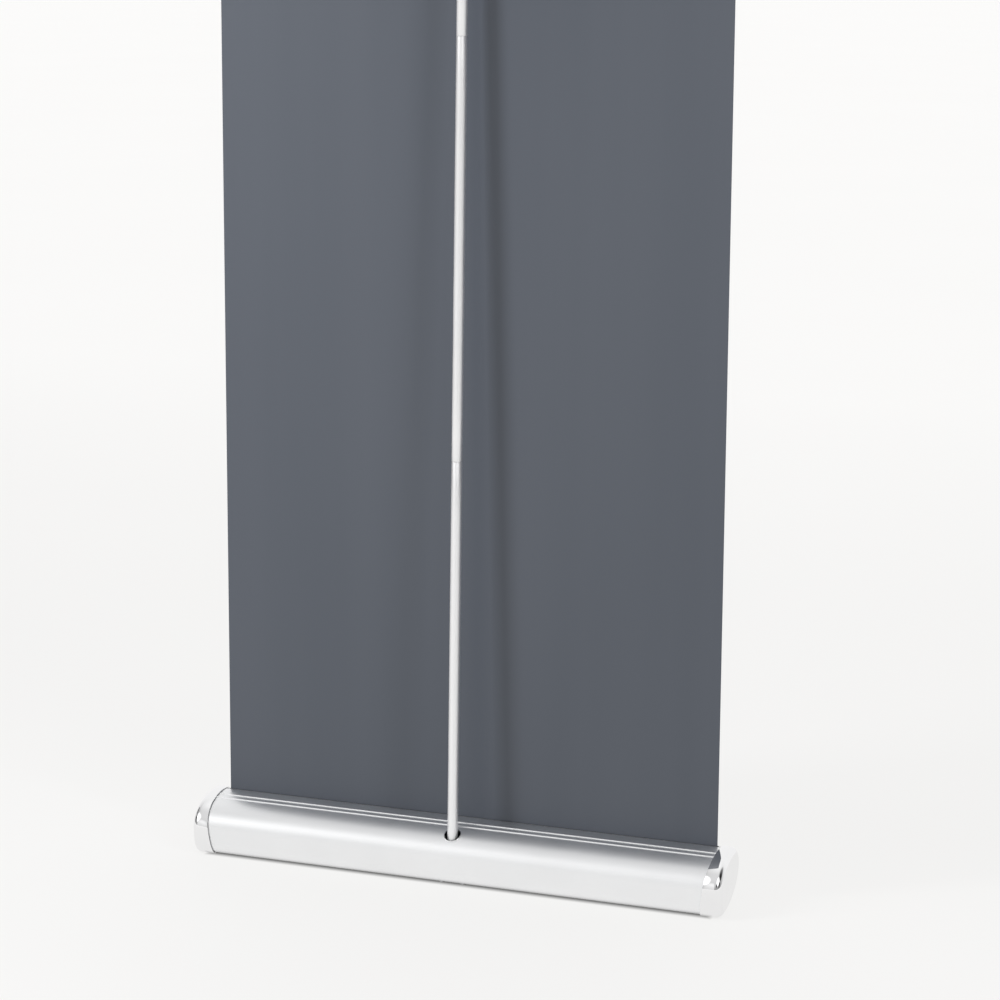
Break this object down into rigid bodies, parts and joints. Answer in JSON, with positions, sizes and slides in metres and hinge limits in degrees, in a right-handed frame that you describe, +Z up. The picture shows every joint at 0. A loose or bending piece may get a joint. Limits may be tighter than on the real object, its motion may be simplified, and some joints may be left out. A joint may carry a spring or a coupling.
{
  "type": "roll-up banner stand",
  "caption": "Roll-up banner stand: oval aluminium cassette base with chrome end caps, swing-out feet, a film graphic on a sprung roller, a clamp rail and a plug-in pole behind it.",
  "frame": {"origin": "on the floor, in the middle of the stand's footprint with its feet out", "axes": "+Z up, X along the base, -Y to the front, where the graphic's printed side faces; the pole stands behind the graphic on +Y"},
  "size_m": [0.914, 0.2398, 2.0428],
  "materials": {
    "satin_aluminium": "satin silver anodised",
    "chrome_plate": "bright chrome plate",
    "pole_aluminium": "bright satin anodised",
    "zinc_steel": "zinc plated",
    "foot_steel": "silver powder coat on steel",
    "black_plastic": "moulded, matt",
    "black_rubber": "moulded, matt",
    "grey_back_film": "satin blue-grey block-out back of a film graphic",
    "grey_pile": "brush pile",
    "elastic_cord": "braided elastic"
  },
  "bodies": {
    "base": {"base_housing": "satin_aluminium", "end_plate_left": "black_plastic", "end_plate_right": "black_plastic", "plate_screw_left_1": "zinc_steel", "plate_screw_left_2": "zinc_steel", "plate_screw_left_3": "zinc_steel", "plate_screw_left_4": "zinc_steel", "plate_screw_right_1": "zinc_steel", "plate_screw_right_2": "zinc_steel", "plate_screw_right_3": "zinc_steel", "plate_screw_right_4": "zinc_steel", "end_cap_left": "chrome_plate", "end_cap_right": "chrome_plate", "spring_shaft": "zinc_steel", "spring_anchor": "zinc_steel", "idler_pin": "zinc_steel", "pole_grommet": "chrome_plate", "pole_socket": "black_plastic", "socket_screw_left": "zinc_steel", "socket_screw_right": "zinc_steel", "slot_brush_front": "grey_pile", "slot_brush_rear": "grey_pile", "foot_bracket_left": "black_plastic", "foot_bracket_right": "black_plastic", "foot_pivot_bolt_left": "zinc_steel", "foot_pivot_bolt_right": "zinc_steel", "rear_pad_left": "black_rubber", "rear_pad_middle": "black_rubber", "rear_pad_right": "black_rubber", "leader_film": "grey_back_film", "graphic_panel": "grey_back_film"},
    "roller": {"roller_tube": "satin_aluminium", "drive_hub": "black_plastic", "idler_hub": "black_plastic", "shaft_bush": "black_plastic", "return_spring": "zinc_steel", "wound_leader": "grey_back_film"},
    "top_rail": {"rail_rear_jaw": "satin_aluminium", "rail_cap_left": "black_plastic", "rail_cap_right": "black_plastic", "pole_yoke": "black_plastic"},
    "rail_jaw": {"rail_front_jaw": "satin_aluminium"},
    "pole_lower": {"pole_tube_lower": "pole_aluminium", "pole_ferrule_lower": "zinc_steel", "pole_foot_plug": "black_plastic", "bungee_cord_lower": "elastic_cord"},
    "pole_middle": {"pole_tube_middle": "pole_aluminium", "pole_ferrule_upper": "zinc_steel", "bungee_cord_upper": "elastic_cord"},
    "pole_upper": {"pole_tube_upper": "pole_aluminium", "pole_head": "black_plastic"},
    "foot_left": {"foot_arm_left": "foot_steel", "foot_tip_pad_left": "black_rubber"},
    "foot_right": {"foot_arm_right": "foot_steel", "foot_tip_pad_right": "black_rubber"}
  },
  "joints": [
    {"name": "rail_drop", "type": "slide", "parent": "base", "child": "top_rail", "axis": [0, 0, 1], "range_m": [-1.912, 0], "stiffness_N_per_m": 2.1, "springref_m": -5.7, "deforming": ["graphic_panel"]},
    {"name": "roller_spin", "type": "hinge", "parent": "base", "child": "roller", "pos_m": [0, 0.0522, 0.052], "axis": [1, 0, 0], "range_deg": [-10, 5800]},
    {"name": "rail_jaw_open", "type": "hinge", "parent": "top_rail", "child": "rail_jaw", "pos_m": [0, 0.0291, 2.03789], "axis": [1, 0, 0], "range_deg": [-60, 0]},
    {"name": "pole_lift", "type": "slide", "parent": "base", "child": "pole_lower", "axis": [0, -0.0225, 0.9997], "range_m": [0, 0.09]},
    {"name": "middle_section_pull", "type": "slide", "parent": "pole_lower", "child": "pole_middle", "axis": [0, -0.0225, 0.9997], "range_m": [0, 0.045], "deforming": ["bungee_cord_lower"]},
    {"name": "upper_section_pull", "type": "slide", "parent": "pole_middle", "child": "pole_upper", "axis": [0, -0.0225, 0.9997], "range_m": [0, 0.045], "deforming": ["bungee_cord_upper"]},
    {"name": "foot_left_swing", "type": "hinge", "parent": "base", "child": "foot_left", "pos_m": [-0.33, 0.0451, 0.005], "axis": [0, 0, 1], "range_deg": [0, 90]},
    {"name": "foot_right_swing", "type": "hinge", "parent": "base", "child": "foot_right", "pos_m": [0.33, 0.0451, 0.005], "axis": [0, 0, 1], "range_deg": [-90, 0]}
  ],
  "couplings": [
    {"joint": "roller_spin", "follows": "rail_drop", "rad_per_m": -52.356}
  ]
}
